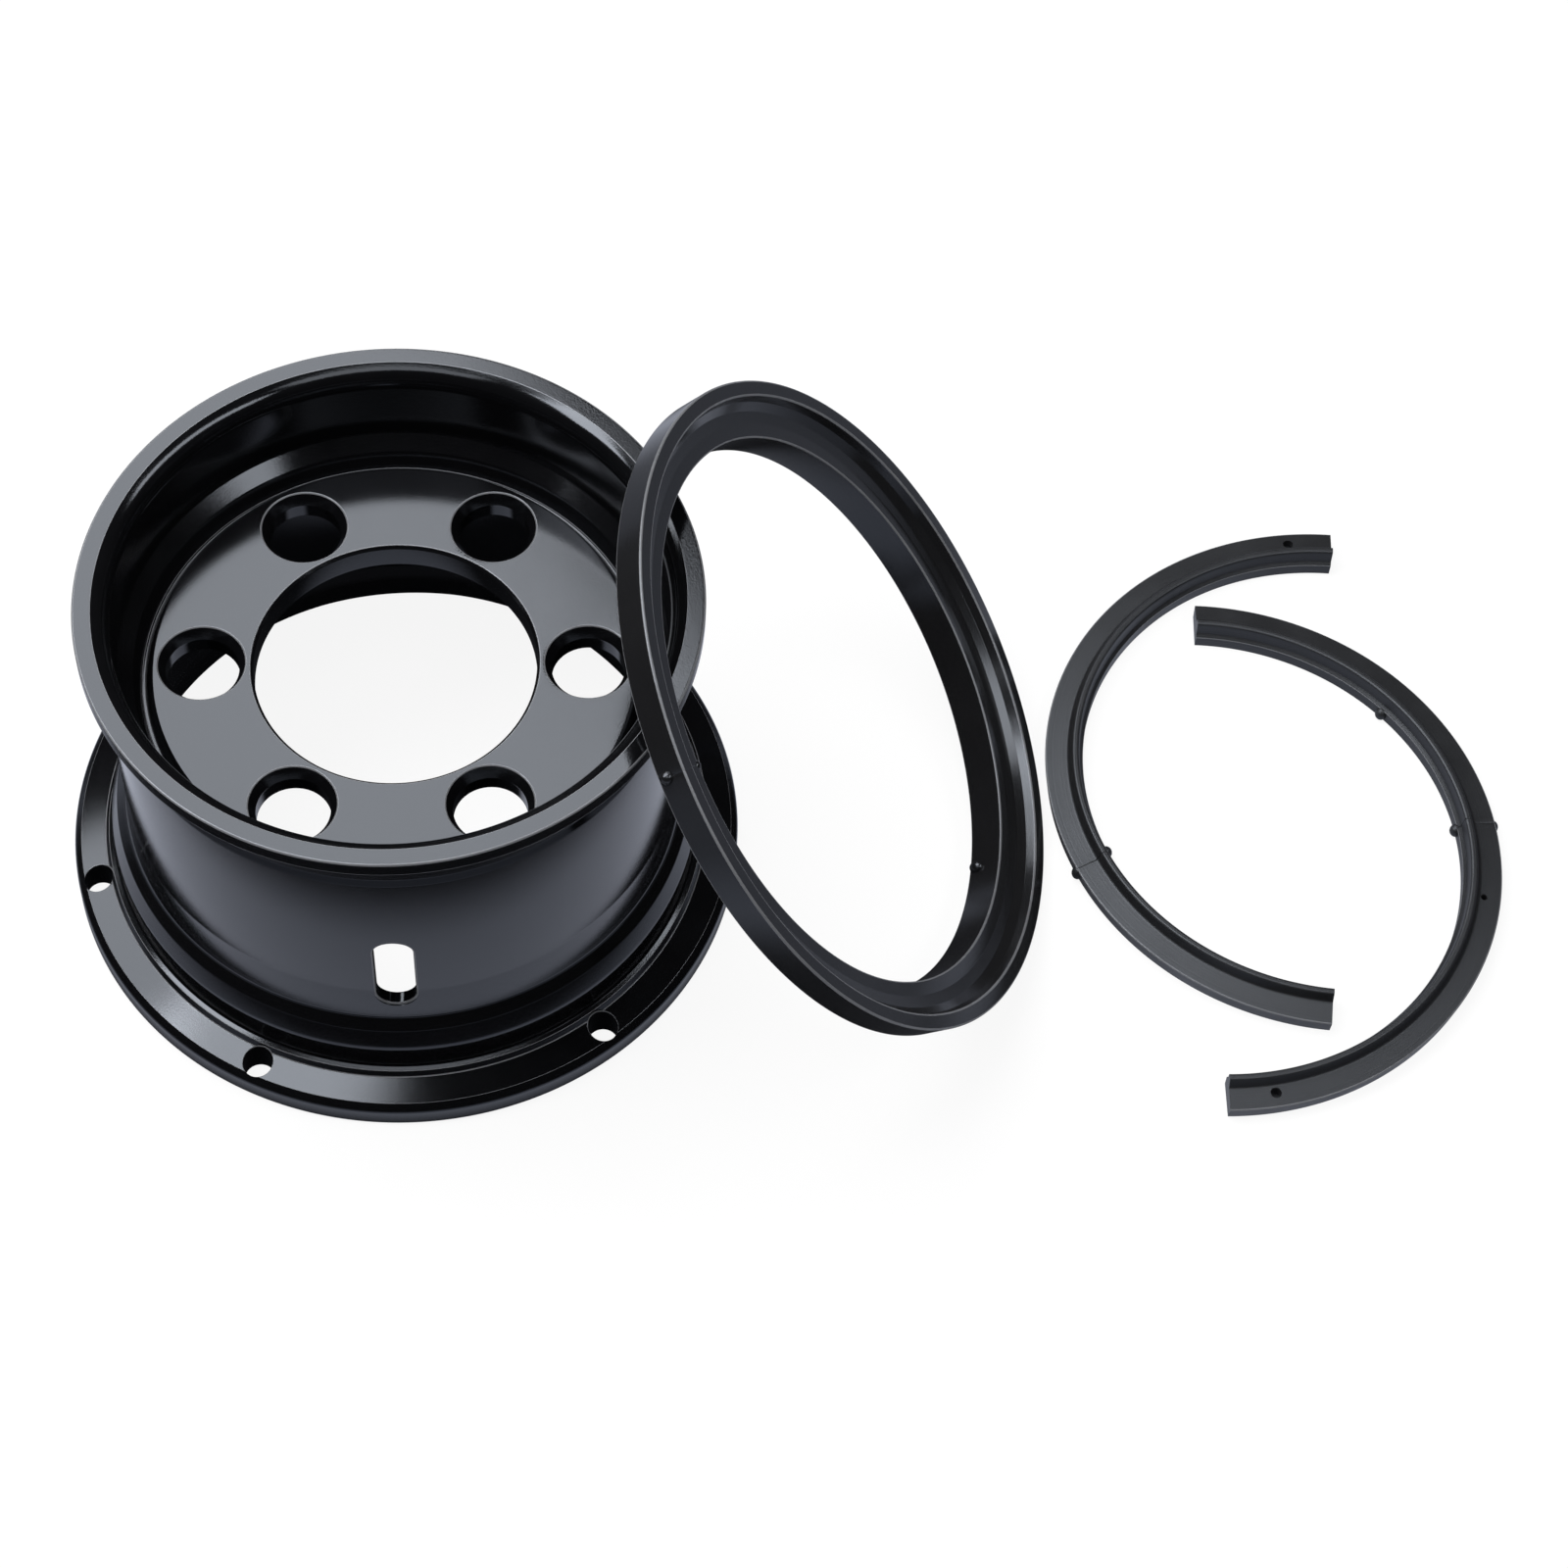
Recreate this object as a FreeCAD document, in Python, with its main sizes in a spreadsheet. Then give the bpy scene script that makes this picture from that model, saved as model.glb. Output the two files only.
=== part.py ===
import FreeCAD, Part
import math
import os
import Sketcher

# Multi-piece wheel rim laid out as a set: base, disc, leaning side ring and two lock ring halves.
# Origin: centre of the hub bore in the disc's mounting face.
# +Z is the wheel axis, upwards, and +X runs through a stud hole towards the loose rings.

FULL_TURN = 360.0
QUARTER_TURN = 90.0
SAME = 0.01
SEATED = 0.02
SLIDE_SHARE = 0.9

# Driving sizes in millimetres and degrees. Heights of the base are measured from the floor.
SIZES = {
    "zero": 0.0,
    "mount_height": 120.0,
    # Disc, from the hub bore outwards
    "bore_rad": 57.8,
    "bore_edge": 1.3,
    "stud_web": 1.65,
    "stud_rad": 15.0,
    "stud_cone_rad": 18.0,
    "stud_cone_angle": 62.0,
    "stud_count": 6.0,
    "stud_margin": 2.45,
    "disc_thick": 12.0,
    "disc_step": 6.2,
    "disc_land": 1.0,
    "disc_bevel": 3.5,
    "disc_gap": 0.3,
    # Seat of the disc inside the base: ledge, collar and cone up to the wall
    "ledge_thick": 5.0,
    "ledge_flare": 19.0,
    "collar_lean": 3.5,
    "collar_rise": 2.4,
    "collar_cone_run": 5.8,
    "collar_cone_rise": 5.2,
    # Barrel and gutter
    "wall_thick": 5.0,
    "low_wall_thick": 5.4,
    "gutter_deep": 1.4,
    "gutter_slope": 3.0,
    "gutter_wide": 22.0,
    "gutter_round": 3.0,
    # Lip
    "lip_top": 179.0,
    "lip_proud": 9.0,
    "lip_deep": 9.0,
    "lip_bevel": 2.0,
    "lip_round": 1.4,
    "lip_inner_round": 6.6,
    # Flared shoulder under the barrel, the tapered bead seat and the bead's foot on the flange
    "shoulder_flare": 5.2,
    "shoulder_run": 4.5,
    "shoulder_root": 3.0,
    "shoulder_round": 1.5,
    "seat_taper": 5.1,
    "seat_wide": 23.2,
    "bead_slope": 3.7,
    "bead_rise": 5.1,
    "bead_round": 1.2,
    # Fixed flange and the flared skirt inside it
    "flange_thick": 13.2,
    "flange_land": 12.4,
    "flange_round": 2.0,
    "flange_top_round": 3.2,
    "flange_root": 4.0,
    "flange_foot_land": 15.4,
    "skirt_lead": 9.0,
    "skirt_low": 13.0,
    "skirt_tall": 11.0,
    "skirt_slope": 20.0,
    # Valve slot through the barrel
    "slot_rad": 8.75,
    "slot_low": 63.9,
    "slot_long": 31.9,
    # Small holes in the flange
    "flange_hole_rad": 6.3,
    "flange_hole_inset": 9.4,
    "near_hole_angle": -51.4,
    "front_hole_angle": -116.3,
    "left_hole_angle": -166.7,
    # Side ring, from its hole outwards and from the back of its collar forwards
    "ring_hole_rad": 118.2,
    "ring_facet": 6.3,
    "ring_slope": 5.0,
    "ring_slope_deep": 0.6,
    "ring_cove": 3.0,
    "ring_cove_deep": 2.3,
    "ring_mouth_slope": 1.7,
    "ring_recess_deep": 4.5,
    "ring_face": 6.8,
    "ring_draft": 1.4,
    "ring_collar_thick": 6.8,
    "ring_collar_taper": 3.0,
    "ring_back_high": 9.5,
    "ring_rim": 13.5,
    "ring_round": 1.2,
    "ring_edge": 0.7,
    # How the side ring leans: back from upright, its turn about Z, its place across and its gap to the lip
    "ring_lean_angle": 39.1,
    "ring_turn_angle": -3.5,
    "ring_pos_y": -8.8,
    "lean_gap": 0.3,
    # Lock ring section, from its toe outwards and from the floor up
    "lock_foot_rad": 112.6,
    "lock_notch": 1.6,
    "lock_ridge_set": 0.8,
    "lock_ridge_width": 2.8,
    "lock_cove": 1.8,
    "lock_face": 10.0,
    "lock_draft": 1.2,
    "lock_foot_high": 6.0,
    "lock_notch_rise": 1.4,
    "lock_ridge_rise": 6.0,
    "lock_edge_high": 7.6,
    "lock_face_rise": 1.4,
    "lock_round": 1.2,
    "lock_cove_round": 1.6,
    "lock_arc_angle": 178.0,
    "lock_pin_rad": 2.6,
    "lock_pin_inset": 3.8,
    "lock_pin_deep": 5.0,
    "lock_pin_angle": -79.7,
    # Where the two halves lie: clear of the side ring, and the second nested in the first
    "lay_gap": 3.0,
    "half_a_y": 25.0,
    "half_a_angle": 174.1,
    "nest_x": 61.4,
    "nest_y": 40.0,
    "half_b_angle": -1.7,
    # Nubs of weld flash left on the rolled rings
    "flash_rad": 2.3,
    "flash_ring_angle": -139.5,
    "lug_ring_angle": -7.0,
    "flash_a_angle": 30.0,
    "flash_b_angle": 4.0,
    "lug_b_angle": 40.0,
}

# Radii and heights that follow from the driving sizes
PLACES = {
    "stud_ring": "bore_rad + bore_edge + stud_web + stud_cone_rad",
    "disc_low_rad": "stud_ring + stud_rad + stud_margin",
    "disc_rad": "disc_low_rad + disc_step",
    "ledge_rad": "disc_low_rad + disc_gap",
    "seam_rad": "disc_rad + disc_gap",
    "collar_rad": "seam_rad + collar_lean",
    "wall_rad": "collar_rad + collar_cone_run",
    "barrel_rad": "wall_rad + wall_thick",
    "gutter_rad": "barrel_rad - gutter_deep",
    "lip_rad": "barrel_rad + lip_proud",
    "shoulder_rad": "barrel_rad + shoulder_flare",
    "bead_rad": "shoulder_rad + seat_taper",
    "flange_flat_rad": "bead_rad + bead_slope",
    "flange_rad": "flange_flat_rad + flange_land",
    "flange_foot_rad": "flange_rad - flange_foot_land",
    "skirt_rad": "flange_foot_rad - skirt_lead",
    "low_wall_rad": "barrel_rad - low_wall_thick",
    "skirt_high": "skirt_low + skirt_tall",
    "bead_high": "flange_thick + bead_rise",
    "shoulder_high": "bead_high + seat_wide",
    "barrel_low": "shoulder_high + shoulder_run",
    "lip_low": "lip_top - lip_deep",
    "gutter_low": "lip_low - gutter_wide",
    "ledge_top": "mount_height + ledge_thick",
    "collar_top": "mount_height + disc_thick + collar_rise",
    "wall_low": "collar_top + collar_cone_rise",
    "slot_high": "slot_low + slot_long",
    "ring_facet_rad": "ring_hole_rad + ring_facet",
    "ring_cove_rad": "ring_facet_rad + ring_slope",
    "ring_recess_rad": "ring_cove_rad + ring_cove",
    "ring_face_rad": "ring_recess_rad + ring_mouth_slope",
    "ring_rad": "ring_face_rad + ring_face",
    "ring_back_rad": "ring_rad - ring_draft",
    "ring_collar_rad": "ring_hole_rad + ring_collar_thick",
    "ring_depth": "ring_back_high + ring_rim",
    "ring_recess_high": "ring_depth - ring_recess_deep",
    "ring_cove_high": "ring_recess_high - ring_cove_deep",
    "ring_facet_high": "ring_cove_high - ring_slope_deep",
    "lock_notch_rad": "lock_foot_rad + lock_notch",
    "lock_ridge_rad": "lock_notch_rad + lock_ridge_set",
    "lock_ridge_back": "lock_ridge_rad + lock_ridge_width",
    "lock_cove_rad": "lock_ridge_back + lock_cove",
    "lock_rad": "lock_cove_rad + lock_face",
    "lock_base_rad": "lock_rad - lock_draft",
    "lock_notch_high": "lock_foot_high + lock_notch_rise",
    "lock_ridge_high": "lock_notch_high + lock_ridge_rise",
    "lock_cove_high": "lock_edge_high + lock_face_rise",
    "half_a_x": "lay_gap + lock_rad",
}

doc = FreeCAD.newDocument("wheel_rim_set")
sheet = doc.addObject("Spreadsheet::Sheet", "dims")


def set_cell(row, word, number):
    sheet.set("A%d" % row, word)
    sheet.set("B%d" % row, repr(number))
    sheet.setAlias("B%d" % row, word)


for row, (word, number) in enumerate(SIZES.items(), start=1):
    set_cell(row, word, number)
RING_ROW = len(SIZES) + 1


def terms(text):
    """Signed driving sizes of a sum such as 'lip_top - lip_deep', with its places written out."""
    sign = 1
    out = []
    for token in text.split():
        if token in "+-":
            sign = -1 if token == "-" else 1
        elif token in PLACES:
            out += [(sign * inner, word) for inner, word in terms(PLACES[token])]
        else:
            out.append((sign, token))
    return out


def value(text):
    return sum(sign * SIZES[word] for sign, word in terms(text))


def bound(text):
    """The same sum as an expression on the sheet."""
    parts = ["%s dims.%s" % ("-" if sign < 0 else "+", word) for sign, word in terms(text)]
    return " ".join(parts).lstrip("+ ")


set_cell(RING_ROW, "ring_pos_x", value("lip_rad + ring_rad"))
doc.recompute()


def new_body(name):
    body = doc.addObject("PartDesign::Body", name)
    body.Label = name
    return body


def plane(body, role):
    for feature in body.Origin.OriginFeatures:
        if feature.Role == role:
            return feature
    raise ValueError(role)


def new_sketch(body, name, role):
    sketch = body.newObject("Sketcher::SketchObject", name)
    sketch.AttachmentSupport = [(plane(body, role), "")]
    sketch.MapMode = "FlatFace"
    return sketch


def drive(sketch, kind, geo, point, text, name):
    """One distance from the sketch's own centre, bound to the sheet."""
    index = sketch.addConstraint(Sketcher.Constraint(kind, -1, 1, geo, point, value(text)))
    sketch.renameConstraint(index, name)
    sketch.setExpression("Constraints." + name, bound(text))


def drive_radius(sketch, geo, text):
    index = sketch.addConstraint(Sketcher.Constraint("Radius", geo, value(text)))
    sketch.renameConstraint(index, "size")
    sketch.setExpression("Constraints.size", bound(text))


def outline(body, name, role, corners):
    """Closed outline of straight sides, each corner driven by two sums of sizes."""
    sketch = new_sketch(body, name, role)
    spots = [FreeCAD.Vector(value(across), value(up), 0) for across, up in corners]
    count = len(spots)
    for k in range(count):
        sketch.addGeometry(Part.LineSegment(spots[k], spots[(k + 1) % count]), False)
    for k in range(count):
        sketch.addConstraint(Sketcher.Constraint("Coincident", k, 2, (k + 1) % count, 1))
    for k, (across, up) in enumerate(corners):
        drive(sketch, "DistanceX", k, 1, across, "across%d" % k)
        drive(sketch, "DistanceY", k, 1, up, "up%d" % k)
    return sketch


def ring_circle(body, name, ring, radius, angle="zero", height="zero"):
    """A circle out along the sketch's X axis, the sketch raised and turned about Z."""
    sketch = new_sketch(body, name, "XY_Plane")
    centre = FreeCAD.Vector(value(ring), 0, 0)
    sketch.addGeometry(Part.Circle(centre, FreeCAD.Vector(0, 0, 1), value(radius)), False)
    sketch.addConstraint(Sketcher.Constraint("PointOnObject", 0, 3, -1))
    drive(sketch, "DistanceX", 0, 3, ring, "ring")
    drive_radius(sketch, 0, radius)
    sketch.setExpression("AttachmentOffset.Rotation.Angle", bound(angle))
    sketch.setExpression("AttachmentOffset.Base.z", bound(height))
    return sketch


def revolve(body, name, sketch):
    feature = body.newObject("PartDesign::Revolution", name)
    feature.Profile = sketch
    feature.ReferenceAxis = (sketch, ["V_Axis"])
    feature.Angle = FULL_TURN
    doc.recompute()
    return feature


def hoops(shape, rings):
    """Names of the circular edges at the given radius and height pairs."""
    names = []
    for radius, height in rings:
        found = []
        for k, edge in enumerate(shape.Edges, start=1):
            curve = edge.Curve
            if not isinstance(curve, Part.Circle):
                continue
            centre = curve.Center
            off = max(abs(curve.Radius - value(radius)), abs(centre.z - value(height)))
            if max(off, math.hypot(centre.x, centre.y)) < SAME:
                found.append("Edge%d" % k)
        if not found:
            raise ValueError("no edge at %s, %s" % (radius, height))
        names += found
    return names


def round_off(body, name, base, size, rings):
    feature = body.newObject("PartDesign::Fillet", name)
    feature.Base = (base, hoops(base.Shape, rings))
    feature.setExpression("Radius", bound(size))
    doc.recompute()
    return feature


def bevel(body, name, base, size, rings):
    feature = body.newObject("PartDesign::Chamfer", name)
    feature.Base = (base, hoops(base.Shape, rings))
    feature.setExpression("Size", bound(size))
    doc.recompute()
    return feature


def cut(body, name, sketch, deep, reverse=False):
    """Pocket of a stated depth, refused if it takes nothing away."""
    before = body.Shape.Volume
    feature = body.newObject("PartDesign::Pocket", name)
    feature.Profile = sketch
    feature.Type = "Length"
    feature.Reversed = reverse
    feature.setExpression("Length", bound(deep))
    doc.recompute()
    if not body.Shape.Volume < before:
        raise ValueError(name + " cuts nothing")
    return feature


def nub(body, name, ring, low, high, angle):
    """A round nub of weld flash, half sunk in a ring's skin."""
    feature = body.newObject("PartDesign::Pad", name)
    feature.Profile = ring_circle(body, name + "_plan", ring, "flash_rad", angle, low)
    feature.setExpression("Length", "%s - (%s)" % (bound(high), bound(low)))
    doc.recompute()
    return feature


def rim_base():
    """Flange, bead seat, shoulder, barrel, gutter and lip in one turned section."""
    base = new_body("rim_base")
    section = outline(base, "base_section", "XZ_Plane", [
        ("flange_foot_rad", "zero"),
        ("flange_rad", "zero"),
        ("flange_rad", "flange_thick"),
        ("flange_flat_rad", "flange_thick"),
        ("bead_rad", "bead_high"),
        ("shoulder_rad", "shoulder_high"),
        ("barrel_rad", "barrel_low"),
        ("barrel_rad", "gutter_low"),
        ("gutter_rad", "gutter_low + gutter_slope"),
        ("gutter_rad", "lip_low"),
        ("lip_rad - lip_bevel", "lip_low"),
        ("lip_rad", "lip_low + lip_bevel"),
        ("lip_rad", "lip_top"),
        ("wall_rad", "lip_top"),
        ("wall_rad", "wall_low"),
        ("collar_rad", "collar_top"),
        ("seam_rad", "ledge_top + disc_land"),
        ("seam_rad", "ledge_top"),
        ("ledge_rad", "ledge_top"),
        ("ledge_rad", "mount_height"),
        ("low_wall_rad", "mount_height - ledge_flare"),
        ("low_wall_rad", "skirt_high + skirt_slope"),
        ("skirt_rad", "skirt_high"),
        ("skirt_rad", "skirt_low"),
    ])
    turned = revolve(base, "base_turned", section)
    for name, size, rings in (
        ("flange_low_edge", "flange_round", [("flange_rad", "zero")]),
        ("flange_top_edge", "flange_top_round", [("flange_rad", "flange_thick")]),
        ("flange_root_round", "flange_root", [("flange_flat_rad", "flange_thick")]),
        ("bead_foot", "bead_round", [("bead_rad", "bead_high")]),
        ("shoulder_edge", "shoulder_round", [("shoulder_rad", "shoulder_high")]),
        ("shoulder_foot", "shoulder_root", [("barrel_rad", "barrel_low")]),
        ("gutter_corner", "gutter_round", [("gutter_rad", "lip_low")]),
        ("lip_outer_edge", "lip_round", [("lip_rad", "lip_top")]),
        ("lip_inner_edge", "lip_inner_round", [("wall_rad", "lip_top")]),
    ):
        turned = round_off(base, name, turned, size, rings)
    valve_slot(base)
    for word in ("near", "front", "left"):
        plan = ring_circle(base, word + "_hole_plan", "flange_rad - flange_hole_inset", "flange_hole_rad",
                           word + "_hole_angle")
        cut(base, word + "_hole", plan, "bead_high", reverse=True)
    base.setExpression("Placement.Base.z", "-dims.mount_height")
    return base


def valve_slot(base):
    """Upright slot with round ends through the front of the barrel."""
    slot = new_sketch(base, "slot_outline", "XZ_Plane")
    half, low, high = value("slot_rad"), value("slot_low"), value("slot_high")
    up_axis = FreeCAD.Vector(0, 0, 1)
    low_ring = Part.Circle(FreeCAD.Vector(0, low, 0), up_axis, half)
    high_ring = Part.Circle(FreeCAD.Vector(0, high, 0), up_axis, half)
    slot.addGeometry(Part.ArcOfCircle(low_ring, math.pi, 2 * math.pi), False)
    slot.addGeometry(Part.LineSegment(FreeCAD.Vector(half, low, 0), FreeCAD.Vector(half, high, 0)), False)
    slot.addGeometry(Part.ArcOfCircle(high_ring, 0, math.pi), False)
    slot.addGeometry(Part.LineSegment(FreeCAD.Vector(-half, high, 0), FreeCAD.Vector(-half, low, 0)), False)
    for first, second in ((0, 1), (1, 2), (2, 3), (3, 0)):
        slot.addConstraint(Sketcher.Constraint("Tangent", first, 2, second, 1))
    for arc in (0, 2):
        slot.addConstraint(Sketcher.Constraint("PointOnObject", arc, 3, -2))
    drive(slot, "DistanceY", 0, 3, "slot_low", "low")
    drive(slot, "DistanceY", 2, 3, "slot_high", "high")
    drive_radius(slot, 0, "slot_rad")
    cut(base, "valve_slot", slot, "flange_rad", reverse=True)
    if not base.Shape.CenterOfGravity.y > 0:
        raise ValueError("the valve slot is not in the front wall")


def wheel_disc():
    """Flat plate stepped to sit on the collar's ledge, its upper edge bevelled for the weld."""
    disc = new_body("wheel_disc")
    section = outline(disc, "disc_section", "XZ_Plane", [
        ("bore_rad", "zero"),
        ("disc_low_rad", "zero"),
        ("disc_low_rad", "ledge_thick"),
        ("disc_rad", "ledge_thick"),
        ("disc_rad", "ledge_thick + disc_land"),
        ("disc_rad - disc_bevel", "disc_thick"),
        ("bore_rad", "disc_thick"),
    ])
    plate = revolve(disc, "disc_plate", section)
    bevel(disc, "bore_bevel", plate, "bore_edge", [("bore_rad", "disc_thick")])
    stud_plan = ring_circle(disc, "stud_plan", "stud_ring", "stud_rad", height="disc_thick")
    doc.recompute()
    before = disc.Shape.Volume
    stud = disc.newObject("PartDesign::Hole", "stud_hole")
    stud.Profile = stud_plan
    stud.ThreadType = "None"
    stud.DepthType = "ThroughAll"
    stud.HoleCutType = "Countersink"
    doc.recompute()
    stud.setExpression("Diameter", "2 * dims.stud_rad")
    stud.HoleCutCustomValues = True
    stud.setExpression("HoleCutDiameter", "2 * dims.stud_cone_rad")
    stud.setExpression("HoleCutCountersinkAngle", "dims.stud_cone_angle")
    doc.recompute()
    if not disc.Shape.Volume < before:
        raise ValueError("the stud hole cuts nothing")
    studs = disc.newObject("PartDesign::PolarPattern", "stud_holes")
    studs.Originals = [stud]
    studs.Axis = (section, ["V_Axis"])
    studs.Angle = FULL_TURN
    studs.setExpression("Occurrences", "dims.stud_count")
    disc.Tip = studs
    doc.recompute()
    return disc


def side_ring():
    """Flanged ring with a stepped mouth, turned about its own axis and leaned back."""
    ring = new_body("side_ring")
    section = outline(ring, "ring_section", "XZ_Plane", [
        ("ring_hole_rad", "zero"),
        ("ring_collar_rad", "zero"),
        ("ring_collar_rad + ring_collar_taper", "ring_back_high"),
        ("ring_back_rad", "ring_back_high"),
        ("ring_rad", "ring_depth"),
        ("ring_face_rad", "ring_depth"),
        ("ring_recess_rad", "ring_recess_high"),
        ("ring_cove_rad", "ring_cove_high"),
        ("ring_facet_rad", "ring_facet_high"),
        ("ring_hole_rad", "ring_facet_high"),
    ])
    hoop = revolve(ring, "ring_turned", section)
    hoop = round_off(ring, "ring_outer_edges", hoop, "ring_round",
                     [("ring_rad", "ring_depth"), ("ring_collar_rad", "zero")])
    round_off(ring, "ring_inner_edges", hoop, "ring_edge",
              [("ring_face_rad", "ring_depth"), ("ring_hole_rad", "ring_facet_high")])
    for word, skin, low, angle in (
        ("ring_flash_in", "ring_hole_rad", "ring_back_high", "flash_ring_angle"),
        ("ring_flash_out", "ring_back_rad", "ring_back_high + ring_round", "flash_ring_angle"),
        ("ring_lug", "ring_hole_rad", "ring_back_high", "lug_ring_angle"),
    ):
        nub(ring, word, skin, low, "ring_cove_high", angle)
    ring.setExpression("Placement.Rotation.Yaw", "dims.ring_turn_angle")
    ring.setExpression("Placement.Rotation.Pitch", "%g - dims.ring_lean_angle" % QUARTER_TURN)
    ring.setExpression("Placement.Base.x", "dims.ring_pos_x")
    ring.setExpression("Placement.Base.y", "dims.ring_pos_y")
    ring.setExpression("Placement.Base.z", "(%s) * %s - dims.ring_back_high * %s - dims.mount_height"
                       % (bound("ring_back_rad"), LEAN_COS, LEAN_SIN))
    return ring


def lean_ring(ring, base):
    """Slide the ring along X towards the base until only the lean gap is left at the lip."""
    doc.recompute()
    loose = ring.Shape.copy()
    place = ring.Placement.Base.x
    underside = value("lip_low - mount_height") - SAME
    lip = Part.makeCompound([face for face in base.Shape.Faces if face.CenterOfMass.z > underside])
    gap, spots, _ = lip.distToShape(loose)
    while gap - value("lean_gap") > SEATED:
        slope = (spots[0][1].x - spots[0][0].x) / gap
        slide = SLIDE_SHARE * (gap - value("lean_gap")) / slope
        loose.translate(FreeCAD.Vector(-slide, 0, 0))
        place -= slide
        gap, spots, _ = lip.distToShape(loose)
    set_cell(RING_ROW, "ring_pos_x", place)


def lock_half(name, across, along, angle, nubs):
    """One half of the lock ring: toe, ridge, cove and sloped face, with a pin hole near one end."""
    body = new_body(name)
    section = outline(body, name + "_section", "XZ_Plane", [
        ("lock_foot_rad", "zero"),
        ("lock_base_rad", "zero"),
        ("lock_rad", "lock_edge_high"),
        ("lock_cove_rad", "lock_cove_high"),
        ("lock_ridge_back", "lock_ridge_high"),
        ("lock_ridge_rad", "lock_ridge_high"),
        ("lock_notch_rad", "lock_notch_high"),
        ("lock_foot_rad", "lock_foot_high"),
    ])
    bar = revolve(body, name + "_turned", section)
    bar.Midplane = True
    bar.setExpression("Angle", "dims.lock_arc_angle")
    doc.recompute()
    bar = round_off(body, name + "_ridge", bar, "lock_round",
                    [("lock_ridge_back", "lock_ridge_high"), ("lock_ridge_rad", "lock_ridge_high")])
    round_off(body, name + "_cove", bar, "lock_cove_round", [("lock_cove_rad", "lock_cove_high")])
    plan = ring_circle(body, name + "_pin_plan", "lock_cove_rad + lock_pin_inset", "lock_pin_rad",
                       "lock_pin_angle", "lock_cove_high")
    cut(body, name + "_pin_hole", plan, "lock_pin_deep")
    for word, ring, high, spot in nubs:
        nub(body, "%s_%s" % (name, word), ring, "zero", high, spot)
    reach = "(%s) * %s + (%s) * %s" % (bound("ring_rad"), LEAN_SIN, bound("ring_depth"), LEAN_COS)
    body.setExpression("Placement.Base.x", "dims.ring_pos_x + %s + %s" % (reach, bound(across)))
    body.setExpression("Placement.Base.y", bound(along))
    body.setExpression("Placement.Base.z", "-dims.mount_height")
    body.setExpression("Placement.Rotation.Yaw", bound(angle))
    return body


LEAN_COS = "cos(dims.ring_lean_angle * 1 deg)"
LEAN_SIN = "sin(dims.ring_lean_angle * 1 deg)"

base = rim_base()
disc = wheel_disc()
ring = side_ring()
lean_ring(ring, base)
half_a = lock_half("lock_ring_half_a", "half_a_x", "half_a_y", "half_a_angle", [
    ("flash_in", "lock_foot_rad", "lock_foot_high", "flash_a_angle"),
    ("flash_out", "lock_base_rad", "lock_edge_high", "flash_a_angle"),
])
half_b = lock_half("lock_ring_half_b", "half_a_x - nest_x", "half_a_y - nest_y", "half_b_angle", [
    ("flash_in", "lock_foot_rad", "lock_foot_high", "flash_b_angle"),
    ("flash_out", "lock_base_rad", "lock_edge_high", "flash_b_angle"),
    ("lug", "lock_foot_rad", "lock_foot_high", "lug_b_angle"),
])

doc.recompute()
for item in doc.Objects:
    if "Invalid" in item.State or "Error" in item.State:
        raise ValueError(item.Name + " failed to build")
bodies = [base, disc, ring, half_a, half_b]
for body in bodies:
    shape = body.Shape
    if shape.isNull() or not shape.isValid() or len(shape.Solids) != 1:
        raise ValueError(body.Label + " is not one sound solid")
os.makedirs("parts", exist_ok=True)
for body in bodies:
    body.Shape.exportStep("parts/%s.step" % body.Label)
    box = body.Shape.BoundBox
    corners = (box.XMin, box.XMax, box.YMin, box.YMax, box.ZMin, box.ZMax)
    print(body.Label, round(body.Shape.Volume), [round(corner, 1) for corner in corners])
print("ring_pos_x", round(ring.Placement.Base.x, 3))
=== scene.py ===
import math

import bmesh
import bpy
from mathutils import Matrix, Vector


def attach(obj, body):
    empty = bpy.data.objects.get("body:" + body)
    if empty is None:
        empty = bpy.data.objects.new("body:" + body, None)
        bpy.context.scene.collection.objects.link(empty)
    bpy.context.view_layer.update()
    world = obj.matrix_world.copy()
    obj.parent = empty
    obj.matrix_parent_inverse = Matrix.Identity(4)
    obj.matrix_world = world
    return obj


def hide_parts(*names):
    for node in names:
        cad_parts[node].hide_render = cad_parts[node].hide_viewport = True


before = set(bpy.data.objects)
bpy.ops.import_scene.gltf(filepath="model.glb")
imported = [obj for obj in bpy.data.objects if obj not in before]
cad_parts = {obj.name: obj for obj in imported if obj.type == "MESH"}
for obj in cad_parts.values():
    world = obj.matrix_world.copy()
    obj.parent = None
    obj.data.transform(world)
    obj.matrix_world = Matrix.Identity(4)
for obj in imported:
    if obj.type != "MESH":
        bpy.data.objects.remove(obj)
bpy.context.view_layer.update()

# Sizes of the pieces are in millimetres and degrees, as in the part's source.
MM = 0.001
FULL_TURN = 360.0
FLOOR_HEIGHT = -120.0

# Camera at the photograph's viewing angle, in metres and degrees
CAMERA_PLACE = Vector((0.0803, -0.9057, 1.3408))
CAMERA_HEADING = 5.19
CAMERA_PITCH = 57.42
CAMERA_ROLL = 4.075
CAMERA_LENS = 90.0
CAMERA_SENSOR = 36.0
CAMERA_CLIP = (0.05, 50.0)

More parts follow.
